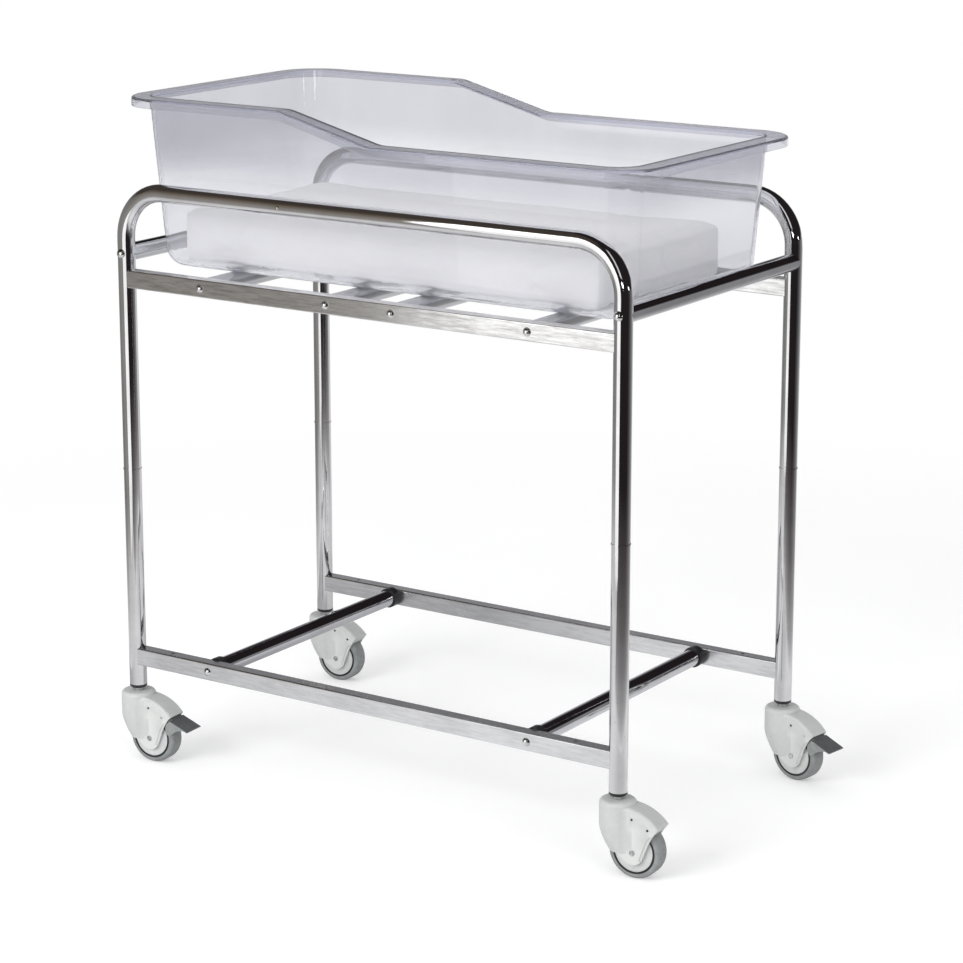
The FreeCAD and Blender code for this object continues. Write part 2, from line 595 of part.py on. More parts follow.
def brake_pocket():
    """Room under the fender and inside the cheeks for the pedal's neck and arms."""
    half_width = PEDAL_POCKET_HALF_WIDTH
    ring = about_axle(PEDAL_POCKET_R, half_width)
    ring = ring.cut(about_axle(PEDAL_POCKET_INNER_R, half_width + CUT_PAST))
    reach = 2 * PEDAL_POCKET_R
    front = Part.makeBox(reach, 2 * half_width, reach, at_axle(PEDAL_POCKET_BACK, 0.0, -half_width))
    pivot = at_axle(*PEDAL_PIVOT)
    boss = across(PEDAL_BOSS_R + PEDAL_POCKET_CLEARANCE, half_width, pivot.x, pivot.z)
    return ring.common(front).fuse(boss)


def pin_holes():
    """Two small blind holes in each cheek."""
    holes = []
    for place in PIN_HOLES:
        point = at_axle(*place)
        for sign in (-1, 1):
            foot = Vector(point.x, sign * (CHEEK_HALF_WIDTH - PIN_HOLE_DEPTH), point.z)
            holes.append(cylinder(PIN_HOLE_D / 2, CUT_MARGIN, foot, Y_AXIS * sign))
    return holes


def castor_housing(braked):
    shape = housing_head().fuse(housing_fender())
    shape = shape.cut(about_axle(WELL_R, WELL_HALF_WIDTH))
    bearing_top_z = SWIVEL_BEARING_Z + SWIVEL_BEARING_H
    shape = shape.cut([
        cylinder(SWIVEL_BEARING_D / 2, bearing_top_z - WHEEL_R, Vector(0, 0, WHEEL_R)),
        cylinder(STEM_D / 2 + BOLT_HOLE_CLEARANCE, BOSS_TOP_Z, Vector(0, 0, WHEEL_R)),
        about_axle(AXLE_D / 2, CHEEK_HALF_WIDTH + CUT_PAST),
    ] + pin_holes() + front_bands())
    if braked:
        pivot = at_axle(*PEDAL_PIVOT)
        pin_hole = across(PEDAL_PIN_D / 2, PEDAL_PIN_HALF_LENGTH, pivot.x, pivot.z)
        shape = shape.cut([brake_pocket(), pin_hole])
    return shape.removeSplitter()


def swivel_bearing():
    return tube(SWIVEL_BEARING_D / 2, STEM_D / 2 + RUNNING_CLEARANCE, SWIVEL_BEARING_H,
                Vector(0, 0, SWIVEL_BEARING_Z))


def axle():
    return about_axle(AXLE_D / 2, CHEEK_HALF_WIDTH + AXLE_PROUD)


def wheel_ring(profile):
    """Spins an outline of (radius, sideways) points about the axle."""
    return spun([at_axle(0, radius, y) for radius, y in profile], AXLE_POINT, Y_AXIS)


def tyre():
    half = TYRE_WIDTH / 2
    shape = wheel_ring([(HUB_R, -half), (WHEEL_R, -half), (WHEEL_R, half), (HUB_R, half)])
    shoulders = [edge for edge in shape.Edges
                 if edge.Closed and abs(edge.BoundBox.ZLength / 2 - WHEEL_R) < SAME_PLACE]
    return shape.makeFillet(TYRE_SHOULDER_R, shoulders)


def hub():
    """Plastic wheel centre: a tyre seat, two raised faces and a bearing seat in each."""
    seat = HUB_SEAT_WIDTH / 2
    face = TYRE_WIDTH / 2 - AXIAL_CLEARANCE
    boss = face + HUB_FACE_RISE - AXIAL_CLEARANCE
    bearing_r = WHEEL_BEARING_D / 2
    ledge = boss - WHEEL_BEARING_WIDTH
    face_r = HUB_R - HUB_GROOVE
    outline = [(HUB_R, seat), (face_r, seat), (face_r, face), (HUB_BOSS_R, boss),
               (bearing_r, boss), (bearing_r, ledge), (bearing_r - HUB_LEDGE, ledge)]
    mirrored = [(radius, -y) for radius, y in reversed(outline)]
    return wheel_ring(outline + mirrored)


def hub_bearings():
    outer = TYRE_WIDTH / 2 - 2 * AXIAL_CLEARANCE + HUB_FACE_RISE
    inner_r = AXLE_D / 2 + RUNNING_CLEARANCE
    rings = []
    for low in (outer - WHEEL_BEARING_WIDTH, -outer):
        rings.append(wheel_ring([(inner_r, low), (WHEEL_BEARING_D / 2, low),
                                 (WHEEL_BEARING_D / 2, low + WHEEL_BEARING_WIDTH),
                                 (inner_r, low + WHEEL_BEARING_WIDTH)]))
    return group(rings)


# ---- Brake pedal, in the same place as its castor ----
def pedal_pin():
    pivot = at_axle(*PEDAL_PIVOT)
    return across(PEDAL_PIN_D / 2, PEDAL_PIN_HALF_LENGTH, pivot.x, pivot.z)


def pedal_plate_edges(y):
    """Side view of the foot plate, thin at its tip."""
    back, tip = at_axle(*PEDAL_PLATE_BACK, y), at_axle(*PEDAL_PLATE_TIP, y)
    corners = [back, tip, tip - Z_AXIS * PEDAL_LIP_T, back - Z_AXIS * PEDAL_PLATE_T]
    return Part.makePolygon(corners + corners[:1]).Edges


def pedal_arm_edges(y):
    """Side view of an arm: it hangs from the plate and reaches back beside the hub."""
    shoulder = at_axle(*PEDAL_ARM_SHOULDER, y)
    under_plate = at_axle(*PEDAL_PLATE_BACK, y) - Z_AXIS * PEDAL_PLATE_T / 2
    along_plate = (at_axle(*PEDAL_PLATE_TIP, y) - at_axle(*PEDAL_PLATE_BACK, y)).normalize()
    end = under_plate + along_plate * PEDAL_ARM_REACH
    foot_front, foot_back = at_axle(*PEDAL_FOOT_FRONT, y), at_axle(*PEDAL_FOOT_BACK, y)
    return [
        Part.makeLine(shoulder, under_plate),
        Part.makeLine(under_plate, end),
        arc(end, at_axle(*PEDAL_ARM_HOLLOW, y), foot_front),
        arc(foot_front, at_axle(*PEDAL_FOOT_LOW, y), foot_back),
        arc(foot_back, at_axle(*PEDAL_ARM_BACK, y), shoulder),
    ]


def pedal_arm(sign):
    low = PEDAL_ARM_IN if sign > 0 else -PEDAL_ARM_OUT
    return extruded(pedal_arm_edges(low), Vector(0, PEDAL_ARM_T, 0))


def pedal_neck():
    """The neck from the pivot to the plate, with the brake pad under it."""
    half_width = TYRE_WIDTH / 2
    pivot = at_axle(*PEDAL_PIVOT)
    plate = at_axle(*PEDAL_PLATE_BACK) - Z_AXIS * PEDAL_PLATE_T / 2
    run = plate - pivot
    bar = Part.makeBox(run.Length, 2 * half_width, PEDAL_NECK_T, Vector(0, -half_width, -PEDAL_NECK_T / 2))
    bar.rotate(Vector(0, 0, 0), Y_AXIS, math.degrees(math.atan2(-run.z, run.x)))
    bar.translate(pivot)
    boss = across(PEDAL_BOSS_R, half_width, pivot.x, pivot.z)
    pad_r = WHEEL_R + BRAKE_PAD_GAP
    ring = about_axle(pad_r + BRAKE_PAD_T, half_width).cut(about_axle(pad_r, TYRE_WIDTH))
    span = Part.makeBox(BRAKE_PAD_END - BRAKE_PAD_START, TYRE_WIDTH, pad_r,
                        at_axle(BRAKE_PAD_START, 0.0, -half_width))
    return bar.fuse([boss, ring.common(span)])


def pedal():
    plate = side_outline(CHEEK_HALF_WIDTH - PEDAL_PLATE_INSET, pedal_plate_edges)
    shape = pedal_neck().fuse([plate, pedal_arm(-1), pedal_arm(1)])
    pivot = at_axle(*PEDAL_PIVOT)
    bore = across(PEDAL_PIN_D / 2 + RUNNING_CLEARANCE, TYRE_WIDTH, pivot.x, pivot.z)
    return shape.cut(bore).removeSplitter()


# ---- Tub and mattress ----
def tub_block(inset):
    """The tub's tapered block, all solid; inset makes it the size of the inside."""
    height = RIM_HIGH_Z - TUB_FLOOR_Z
    floor_z = TUB_FLOOR_Z + inset
    top_z = RIM_HIGH_Z + CUT_MARGIN
    wires = []
    for z in (floor_z, top_z):
        rise = (z - TUB_FLOOR_Z) / height
        half_x = TUB_FLOOR_HALF_X + (TUB_TOP_HALF_X - TUB_FLOOR_HALF_X) * rise - inset
        half_y = TUB_FLOOR_HALF_Y + (TUB_TOP_HALF_Y - TUB_FLOOR_HALF_Y) * rise - inset
        wires.append(rounded_rectangle(half_x, half_y, TUB_CORNER_R - inset, z, TUB_CENTRE_X))
    block = Part.makeLoft(wires, True, True)
    floor_edges = [edge for edge in block.Edges if abs(edge.BoundBox.ZMax - floor_z) < SAME_PLACE]
    return block.makeFillet(TUB_FLOOR_EDGE_R - inset, floor_edges)


def under_rim(drop, depth):
    """A prism across the tub, from drop below the rim's top line and depth tall."""
    low_x = TUB_CENTRE_X - RIM_HALF_X - CUT_MARGIN
    high_x = TUB_CENTRE_X + RIM_HALF_X + CUT_MARGIN
    half_y = RIM_HALF_Y + CUT_MARGIN
    line = [Vector(low_x, -half_y, RIM_HIGH_Z - drop), Vector(RIM_SLOPE_X[0], -half_y, RIM_HIGH_Z - drop),
            Vector(RIM_SLOPE_X[1], -half_y, RIM_LOW_Z - drop), Vector(high_x, -half_y, RIM_LOW_Z - drop)]
    top = rounded_path(line, RIM_SLOPE_R)
    foot_z = RIM_LOW_Z - drop - depth
    foot = [line[-1], Vector(high_x, -half_y, foot_z), Vector(low_x, -half_y, foot_z), line[0]]
    return extruded(top + Part.makePolygon(foot).Edges, Vector(0, 2 * half_y, 0))


def rim_band(depth, inset):
    """What lies between the rim's top line and depth below it, inside the rim's outline."""
    prism = rounded_prism(RIM_HALF_X - inset, RIM_HALF_Y - inset, RIM_CORNER_R - inset,
                          TUB_FLOOR_Z, RIM_HIGH_Z + CUT_MARGIN, TUB_CENTRE_X)
    return prism.common(under_rim(0.0, TUB_TOP_HALF_Y)).cut(under_rim(depth, TUB_TOP_HALF_Y))


def rim():
    """The turned-out flange with its down-turned lip, still solid inside the walls."""
    band = rim_band(RIM_LIP_HEIGHT, 0.0)
    outer_edges = [edge for edge in band.Edges if on_rim_top_edge(edge)]
    band = band.makeFillet(RIM_EDGE_R, outer_edges)
    hollow = rim_band(RIM_LIP_HEIGHT + CUT_MARGIN, TUB_WALL).cut(rim_band(TUB_WALL, 0.0))
    return band.cut(hollow)


def on_rim_top_edge(edge):
    """True for the edges that run round the top of the rim's outside."""
    faces_down = edge.BoundBox.ZMax < RIM_LOW_Z - RIM_LIP_HEIGHT / 2
    middle = edge.valueAt((edge.FirstParameter + edge.LastParameter) / 2)
    over_x = abs(middle.x - TUB_CENTRE_X) - (RIM_HALF_X - RIM_CORNER_R)
    over_y = abs(middle.y) - (RIM_HALF_Y - RIM_CORNER_R)
    if over_x > 0 and over_y > 0:
        outside = math.hypot(over_x, over_y) > RIM_CORNER_R - SAME_PLACE
    else:
        outside = max(over_x, over_y) > RIM_CORNER_R - SAME_PLACE
    upright = max(edge.BoundBox.XLength, edge.BoundBox.YLength) < SAME_PLACE
    top_z = rim_top_z(middle.x)
    return outside and not upright and not faces_down and abs(middle.z - top_z) < RIM_LIP_HEIGHT / 3


def rim_top_z(x):
    """Height of the rim's top line, its rounded bends left out."""
    start, end = RIM_SLOPE_X
    share = min(max((x - start) / (end - start), 0.0), 1.0)
    return RIM_HIGH_Z + (RIM_LOW_Z - RIM_HIGH_Z) * share


def tub():
    inside = tub_block(TUB_WALL)
    walls = tub_block(0.0).common(under_rim(0.0, RIM_LOW_Z - TUB_FLOOR_Z + CUT_MARGIN))
    return walls.fuse(rim()).cut(inside).removeSplitter()


def mattress():
    half_x = (MATTRESS_FOOT_X - MATTRESS_HEAD_X) / 2
    block = rounded_prism(half_x, MATTRESS_HALF_Y, MATTRESS_CORNER_R, MATTRESS_Z,
                          MATTRESS_Z + MATTRESS_HEIGHT, MATTRESS_HEAD_X + half_x)
    level = [edge for edge in block.Edges if edge.BoundBox.ZLength < SAME_PLACE]
    return block.makeFillet(MATTRESS_EDGE_R, level)


# ---- All nodes ----
def stand_nodes():
    nodes = {side + "_hoop": hoop(side) for side in LEG_Y}
    nodes.update({leg_name(end, side) + "_lower_leg": lower_leg(end, side) for end, side in CORNERS})
    nodes["leg_seam_rings"] = seam_rings()
    nodes["leg_sleeves"] = leg_sleeves()
    for side in LEG_Y:
        nodes[side + "_tray_rail"] = bolted_rail(side, TRAY_Z, TRAY_TUBE_X)
        nodes[side + "_base_rail"] = base_rail(side)
    for number, x in enumerate(TRAY_TUBE_X, start=1):
        nodes["tray_tube_%d" % number] = cross_tube(x, TRAY_Z)
    for end, x in zip(LEG_X, BASE_TUBE_X):
        nodes[end + "_end_tube"] = end_tube(end)
        nodes[end + "_base_tube"] = cross_tube(x, BASE_Z)
    nodes["base_tube_collars"] = base_tube_collars()
    nodes["tube_inserts"] = tube_inserts()
    nodes["tray_bolts"] = rail_bolts(TRAY_Z, TRAY_TUBE_X)
    nodes["base_bolts"] = rail_bolts(BASE_Z, BASE_TUBE_X)
    nodes["end_bolts"] = end_bolts()
    nodes["hoop_studs"] = hoop_studs()
    nodes["castor_collars"] = group([castor_collar(end, side) for end, side in CORNERS])
    nodes["castor_stems"] = group([castor_stem(end, side) for end, side in CORNERS])
    return nodes


def castor_nodes(end, side):
    name = leg_name(end, side)
    braked = name in BRAKED
    nodes = {
        "_housing": castor_housing(braked),
        "_swivel_bearing": swivel_bearing(),
        "_axle": axle(),
        "_tyre": tyre(),
        "_hub": hub(),
        "_hub_bearings": hub_bearings(),
    }
    if braked:
        nodes["_pedal"] = pedal()
        nodes["_pedal_pin"] = pedal_pin()
    for shape in nodes.values():
        shape.rotate(Vector(0, 0, 0), Z_AXIS, SWIVEL_ANGLE[name])
        shape.translate(Vector(LEG_X[end], LEG_Y[side], 0))
    return {name + part: shape for part, shape in nodes.items()}


def all_nodes():
    nodes = stand_nodes()
    for end, side in CORNERS:
        nodes.update(castor_nodes(end, side))
    nodes["tub"] = tub()
    nodes["mattress"] = mattress()
    return nodes


def origin_shift(nodes):
    """From the middle of the legs to the middle of the whole bassinet's box, on the floor."""
    box = FreeCAD.BoundBox()
    for shape in nodes.values():
        box.add(shape.optimalBoundingBox(False))
    return Vector(-box.Center.x, -box.Center.y, 0)


def main():
    nodes = all_nodes()
    shift = origin_shift(nodes)
    os.makedirs("parts", exist_ok=True)
    for name, shape in nodes.items():
        shape.translate(shift)
        shape.exportStep("parts/" + name + ".step")
    print("%d nodes, shift %.3f %.3f" % (len(nodes), shift.x, shift.y))


main()
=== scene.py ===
import json
import math

import bmesh
import bpy
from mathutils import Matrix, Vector, noise


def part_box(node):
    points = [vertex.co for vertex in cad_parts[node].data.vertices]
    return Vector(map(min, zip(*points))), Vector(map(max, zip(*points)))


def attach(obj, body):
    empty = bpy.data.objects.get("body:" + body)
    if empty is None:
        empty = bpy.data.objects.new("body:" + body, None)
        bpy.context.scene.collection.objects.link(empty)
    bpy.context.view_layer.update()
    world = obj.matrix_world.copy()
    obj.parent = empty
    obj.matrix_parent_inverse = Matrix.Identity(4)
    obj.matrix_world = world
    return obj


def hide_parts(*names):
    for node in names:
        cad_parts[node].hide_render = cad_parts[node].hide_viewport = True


# Hospital bassinet, in metres. X runs along it with the head end at -X, the front side is at -Y.
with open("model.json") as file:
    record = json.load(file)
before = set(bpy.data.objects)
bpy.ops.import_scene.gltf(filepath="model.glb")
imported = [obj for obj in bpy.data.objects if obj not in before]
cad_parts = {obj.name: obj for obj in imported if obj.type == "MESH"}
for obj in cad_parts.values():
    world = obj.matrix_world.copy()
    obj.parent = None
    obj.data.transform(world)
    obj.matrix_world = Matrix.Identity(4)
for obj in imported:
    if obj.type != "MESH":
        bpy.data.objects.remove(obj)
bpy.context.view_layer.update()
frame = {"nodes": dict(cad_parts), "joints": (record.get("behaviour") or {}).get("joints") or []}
nodes = frame["nodes"]

CORNERS = ("head_front", "foot_front", "head_rear", "foot_rear")
MM = 0.001

# ---- Camera ----
CAMERA_PLACE = Vector((2.2719, -3.3985, 1.4752))
CAMERA_HEADING = math.radians(33.71)
CAMERA_DOWN = math.radians(13.44)
CAMERA_LENS = 111.8
CAMERA_SHIFT_Y = -0.05

# ---- Studio: what shiny surfaces mirror, by compass angle in degrees from +X ----
STUDIO_R = 5.0
STUDIO_MIDDLE_Z = 0.6       # elevations are seen from this height
STRIP_R = 4.5
STUDIO_ROOF = 60.0          # elevation of the walls' tops
SOFT_BOX_ENDS = ((-0.66, -1.27), (0.33, -1.60))
SOFT_BOX_Z = (0.01, 1.42)
FLOOR_CARD_Z = 0.002
FLOOR_SIZE = 30.0
FLOOR_LIFT = 0.3            # white added to the lit floor round the object
FLOOR_WHITE_FROM, FLOOR_WHITE_TO = 1.0, 2.2     # the lit floor turns to plain white over this distance
FLOOR_NEAR_R = 0.92         # floor under the object, as metal sees it
WORLD_FILL = 0.66           # what the world lends to matt surfaces
# name, place, target, size, watts
LAMPS = (
    ("key", (-0.9, -3.4, 1.9), (0, 0, 0.5), (2.2, 1.8), 82),
    ("fill", (3.2, -1.6, 1.3), (0, 0, 0.5), (2.0, 2.0), 28),
    ("top", (0, 0.3, 3.4), (0, 0, 0), (3.0, 3.0), 12),
)

# ---- Tub ----
TUB_CLEAR_Z = 0.83
TUB_SMOKY_Z = 0.90
TUB_LOW_RIM_X = (-0.02, 0.06)    # past the slope the low rim is paler
TUB_LOW_RIM_Z = (0.904, 0.914)

# ---- Castor trim and painted shade pieces, in millimetres from the wheel's centre ----
# A black ring in the groove between hub and tyre: painted shade for the shadow down in the groove.
GROOVE_SHADE_RING = ((28.05, 10.05), (28.05, 12.25), (27.5, 12.6), (27.8, 12.8), (30.2, 12.8), (30.5, 12.62),
             (29.95, 12.45), (29.95, 10.05))
RIVET_CUP = ((1.6, 18.7), (1.6, 18.0), (2.5, 18.0), (2.6, 18.85), (3.7, 18.8), (3.95, 18.61), (3.95, 18.65),
             (3.4, 19.05), (2.2, 19.05))
# Fill for each pin hole: a black fill is painted shade for the hole's inside; in the braked castors' second
# hole the fill is a zinc pin.
HOLE_FILL = ((0.0, 16.25), (1.74, 16.25), (1.74, 17.65), (1.1, 17.5), (0.0, 17.45))
PIN_HOLES = ((-1.0, 45.6), (22.0, 34.7))    # along the trail and up
RING_STEPS = 64
RING_SHARP_ANGLE = math.radians(40)
BRAKED = ("head_front", "foot_rear")

# ---- Mattress ----
MATTRESS_START_INSET = 5.0 * MM
MATTRESS_CORNER_R = 6.0 * MM
MATTRESS_EDGE_R = 5.0 * MM
MATTRESS_VOXEL = 4.5 * MM
MATTRESS_PRESSURE = 4.0
MATTRESS_FRAMES = 20
MATTRESS_SWELL_CAP = 6.0 * MM
MATTRESS_SIDE_SWELL = 1.0 * MM   # how far past its CAD box it may swell
MATTRESS_WAVE = 1.1 * MM
MATTRESS_CREASE = 0.8 * MM


# ---- Materials ----
class Nodes:
    """A material's node tree with short calls for the nodes that most materials here use."""

    def __init__(self, name):
        self.material = bpy.data.materials.new(name)
        self.material.use_nodes = True
        self.tree = self.material.node_tree
        self.tree.nodes.clear()
        self.output = self.add("ShaderNodeOutputMaterial")
        self.coordinates = self.add("ShaderNodeTexCoord")

    def add(self, kind, **settings):
        node = self.tree.nodes.new(kind)
        for key, value in settings.items():
            if key in node.inputs:
                node.inputs[key].default_value = value
            else:
                setattr(node, key, value)
        return node

    def link(self, source, target):
        self.tree.links.new(source, target)

    def place(self, scale=(1, 1, 1)):
        """Object coordinates, stretched along the axes by scale."""
        mapping = self.add("ShaderNodeMapping")
        mapping.inputs["Scale"].default_value = scale
        self.link(self.coordinates.outputs["Object"], mapping.inputs["Vector"])
        return mapping.outputs["Vector"]

    def noise(self, scale, detail=4.0, roughness=0.5, stretch=(1, 1, 1)):
        texture = self.add("ShaderNodeTexNoise")
        texture.inputs["Scale"].default_value = scale
        texture.inputs["Detail"].default_value = detail
        texture.inputs["Roughness"].default_value = roughness
        self.link(self.place(stretch), texture.inputs["Vector"])
        return texture.outputs["Fac"]

    def ramp(self, factor, low, high, start=0.35, end=0.65):
        """A colour from low to high as factor goes from start to end."""
        ramp = self.add("ShaderNodeValToRGB")
        ramp.color_ramp.elements[0].position = start
        ramp.color_ramp.elements[1].position = end
        ramp.color_ramp.elements[0].color = (*low, 1)
        ramp.color_ramp.elements[1].color = (*high, 1)
        self.link(factor, ramp.inputs["Fac"])
        return ramp.outputs["Color"]

    def spread(self, factor, low, high):
        """A number from low to high as a noise factor goes over its usual range."""
        node = self.add("ShaderNodeMapRange")
        node.inputs["From Min"].default_value = 0.3
        node.inputs["From Max"].default_value = 0.7
        node.inputs["To Min"].default_value = low
        node.inputs["To Max"].default_value = high
        self.link(factor, node.inputs["Value"])
        return node.outputs["Result"]

    def smooth_step(self, value, low, high):
        """0 up to low, 1 from high on, with a smooth change between."""
        node = self.add("ShaderNodeMapRange", interpolation_type="SMOOTHSTEP")
        node.inputs["From Min"].default_value = low
        node.inputs["From Max"].default_value = high
        self.link(value, node.inputs["Value"])
        return node.outputs["Result"]

    def math(self, operation, first, second):
        node = self.add("ShaderNodeMath", operation=operation)
        for socket, value in zip(node.inputs, (first, second)):
            if isinstance(value, (int, float)):
                socket.default_value = value
            else:
                self.link(value, socket)
        return node.outputs["Value"]

    def mix(self, factor, low, high):
        node = self.add("ShaderNodeMix", data_type="RGBA")
        self.link(factor, node.inputs["Factor"])
        for socket, colour in ((node.inputs["A"], low), (node.inputs["B"], high)):
            if isinstance(colour, tuple):
                socket.default_value = (*colour, 1)
            else:
                self.link(colour, socket)
        return node.outputs["Result"]

    def bump(self, height, distance, strength=1.0, under=None):
        node = self.add("ShaderNodeBump")
        node.inputs["Distance"].default_value = distance
        node.inputs["Strength"].default_value = strength
        self.link(height, node.inputs["Height"])
        if under is not None:
            self.link(under, node.inputs["Normal"])
        return node.outputs["Normal"]

    def edges(self):
        """Near 1 on outer edges and near 0.5 on flat faces, for wear."""
        geometry = self.add("ShaderNodeNewGeometry")
        return geometry.outputs["Pointiness"]

    def principled(self, colour, roughness, normal=None, **constants):
        shader = self.add("ShaderNodeBsdfPrincipled")
        for key, value in constants.items():
            shader.inputs[key.replace("_", " ")].default_value = value
        for socket, value in (("Base Color", colour), ("Roughness", roughness), ("Normal", normal)):
            if value is not None:
                self.link(value, shader.inputs[socket])
        self.link(shader.outputs["BSDF"], self.output.inputs["Surface"])
        return shader


def chrome(name, tint=(0.80, 0.80, 0.815), dull=(0.70, 0.695, 0.70), grain=(1, 1, 1)):
    """Bright plated steel: faint haze, fine drawing lines and a few small dull specks."""
    n = Nodes(name)
    haze = n.noise(14.0, 5.0, 0.6)
    specks = n.noise(420.0, 2.0, 0.5)
    spots = n.ramp(specks, (0, 0, 0), (1, 1, 1), 0.70, 0.78)
    colour = n.mix(spots, n.ramp(haze, dull, tint, 0.3, 0.62), (0.48, 0.46, 0.44))
    lines = n.noise(900.0, 2.0, 0.5, grain)
    wave = n.noise(25.0, 2.0, 0.4)
    normal = n.bump(wave, 0.12 * MM, 0.5, n.bump(lines, 0.004 * MM, 0.5))
    n.principled(colour, n.spread(haze, 0.09, 0.035), normal, Metallic=1.0)
    return n.material


def brushed(name, light, dark, rough, blotch):
    """Plated rail with a brushed, cloudy face: streaks along the rail over larger blotches."""
    n = Nodes(name)
    streaks = n.noise(160.0, 6.0, 0.65, (0.16, 1, 1.6))
    clouds = n.noise(22.0, 4.0, 0.6, (0.5, 1, 1))
    fine = n.noise(1500.0, 2.0, 0.5, (0.03, 1, 1))
    both = n.math("ADD", n.math("MULTIPLY", streaks, blotch), n.math("MULTIPLY", clouds, 1 - blotch))
    colour = n.ramp(both, dark, light, 0.38, 0.58)
    normal = n.bump(streaks, 0.05 * MM, 0.6, n.bump(fine, 0.01 * MM, 0.6))
    n.principled(colour, n.spread(both, rough[1], rough[0]), normal, Metallic=1.0)
    return n.material


def steel(name, tint):
    """Zinc plated small parts: finely mottled and slightly uneven."""
    n = Nodes(name)
    mottle = n.noise(260.0, 4.0, 0.6)
    colour = n.ramp(mottle, tuple(0.78 * c for c in tint), tint, 0.3, 0.7)
    n.principled(colour, n.spread(mottle, 0.16, 0.34), n.bump(mottle, 0.03 * MM, 0.6), Metallic=1.0)
    return n.material


def plastic(name, light, dark, rough, edge=None):
    """Moulded plastic: fine spark-eroded grain, faint flow clouds and rubbed edges."""
    n = Nodes(name)
    clouds = n.noise(18.0, 5.0, 0.6)
    dirt = n.noise(90.0, 6.0, 0.7)
    skin = n.noise(1400.0, 3.0, 0.6)
    colour = n.ramp(n.math("MULTIPLY", n.math("ADD", clouds, dirt), 0.5), dark, light, 0.38, 0.6)
    if edge:
        rubbed = n.ramp(n.edges(), (0, 0, 0), (1, 1, 1), 0.52, 0.6)
        colour = n.mix(rubbed, colour, edge)
    normal = n.bump(skin, 0.03 * MM, 0.7, n.bump(dirt, 0.04 * MM, 0.35))
    n.principled(colour, n.spread(dirt, *rough), normal)
    return n.material


def rubber(name):
    """Grey tread: scuffed and dusty, with a matt, slightly pitted face."""
    n = Nodes(name)
    scuffs = n.noise(70.0, 6.0, 0.7)
    pits = n.noise(900.0, 3.0, 0.6)
    colour = n.ramp(scuffs, (0.205, 0.215, 0.215), (0.285, 0.30, 0.30), 0.35, 0.65)
    normal = n.bump(pits, 0.05 * MM, 0.8, n.bump(scuffs, 0.12 * MM, 0.5))
    n.principled(colour, n.spread(scuffs, 0.42, 0.62), normal, Specular_IOR_Level=0.4)
    return n.material


def pedal_plastic(name):
    """Mid-grey moulding whose upward faces carry a darker, coarser tread."""
    n = Nodes(name)
    scuffs = n.noise(110.0, 6.0, 0.7)
    coarse = n.noise(650.0, 3.0, 0.6)
    split = n.add("ShaderNodeSeparateXYZ")
    n.link(n.coordinates.outputs["Normal"], split.inputs["Vector"])
    top = n.ramp(split.outputs["Z"], (0, 0, 0), (1, 1, 1), 0.55, 0.7)
    side = n.ramp(scuffs, (0.22, 0.235, 0.23), (0.29, 0.31, 0.30))
    tread = n.ramp(scuffs, (0.082, 0.088, 0.092), (0.118, 0.125, 0.13))
    normal = n.bump(coarse, 0.08 * MM, 0.8, n.bump(scuffs, 0.06 * MM, 0.4))
    n.principled(n.mix(top, side, tread), n.spread(scuffs, 0.4, 0.6), normal)
    return n.material


def clear_plastic(name):
    """Clear moulded tub: smoky towards the rim, faint wipe marks and a barely wavy face."""
    n = Nodes(name)
    split = n.add("ShaderNodeSeparateXYZ")
    n.link(n.coordinates.outputs["Object"], split.inputs["Vector"])
    smoky_share = n.smooth_step(split.outputs["Z"], TUB_CLEAR_Z, TUB_SMOKY_Z)
    rim_share = n.math("MULTIPLY", n.smooth_step(split.outputs["X"], *TUB_LOW_RIM_X),
                       n.smooth_step(split.outputs["Z"], *TUB_LOW_RIM_Z))
    wipes = n.noise(9.0, 6.0, 0.65, (1, 1, 0.35))
    flow = n.noise(5.0, 2.0, 0.4)
    smoky = n.ramp(wipes, (0.69, 0.695, 0.72), (0.75, 0.755, 0.775), 0.3, 0.7)
    clean = n.ramp(wipes, (0.97, 0.972, 0.978), (0.99, 0.99, 0.993), 0.3, 0.7)
    pale_rim = n.ramp(wipes, (0.80, 0.803, 0.83), (0.85, 0.853, 0.875), 0.3, 0.7)
    colour = n.mix(rim_share, n.mix(smoky_share, clean, smoky), pale_rim)
    normal = n.bump(flow, 0.1 * MM, 0.5)
    shader = n.principled(colour, n.spread(wipes, 0.0, 0.012), normal, Transmission_Weight=0.91, IOR=1.4)
    path = n.add("ShaderNodeLightPath")
    clear = n.add("ShaderNodeBsdfTransparent")
    clear.inputs["Color"].default_value = (0.99, 0.99, 0.992, 1)
    both = n.add("ShaderNodeMixShader")
    n.link(path.outputs["Is Shadow Ray"], both.inputs["Fac"])
    n.link(shader.outputs["BSDF"], both.inputs[1])
    n.link(clear.outputs["BSDF"], both.inputs[2])
    n.link(both.outputs["Shader"], n.output.inputs["Surface"])
    body = n.add("ShaderNodeVolumeAbsorption")
    body.inputs["Color"].default_value = (0.50, 0.51, 0.68, 1)
    body.inputs["Density"].default_value = 32.0
    n.link(body.outputs["Volume"], n.output.inputs["Volume"])
    return n.material


def cover_cloth(name):
    """White coated cover: very fine weave, soft shallow creases and a slight sheen."""
    n = Nodes(name)
    soft = n.noise(7.0, 4.0, 0.55)
    creases = n.noise(24.0, 5.0, 0.6, (0.6, 1, 1))
    threads = []
    for axis in ("X", "Y"):
        wave = n.add("ShaderNodeTexWave", wave_type="BANDS", bands_direction=axis)
        wave.inputs["Scale"].default_value = 700.0
        wave.inputs["Distortion"].default_value = 0.6
        n.link(n.place(), wave.inputs["Vector"])
        threads.append(wave.outputs["Fac"])
    weave = n.math("MULTIPLY", *threads)
    colour = n.ramp(soft, (0.86, 0.857, 0.85), (0.91, 0.906, 0.90), 0.3, 0.7)
    normal = n.bump(weave, 0.012 * MM, 0.35, n.bump(creases, 0.5 * MM, 0.3))
    n.principled(colour, n.spread(creases, 0.5, 0.68), normal, Sheen_Weight=0.15, Sheen_Roughness=0.4)
    return n.material


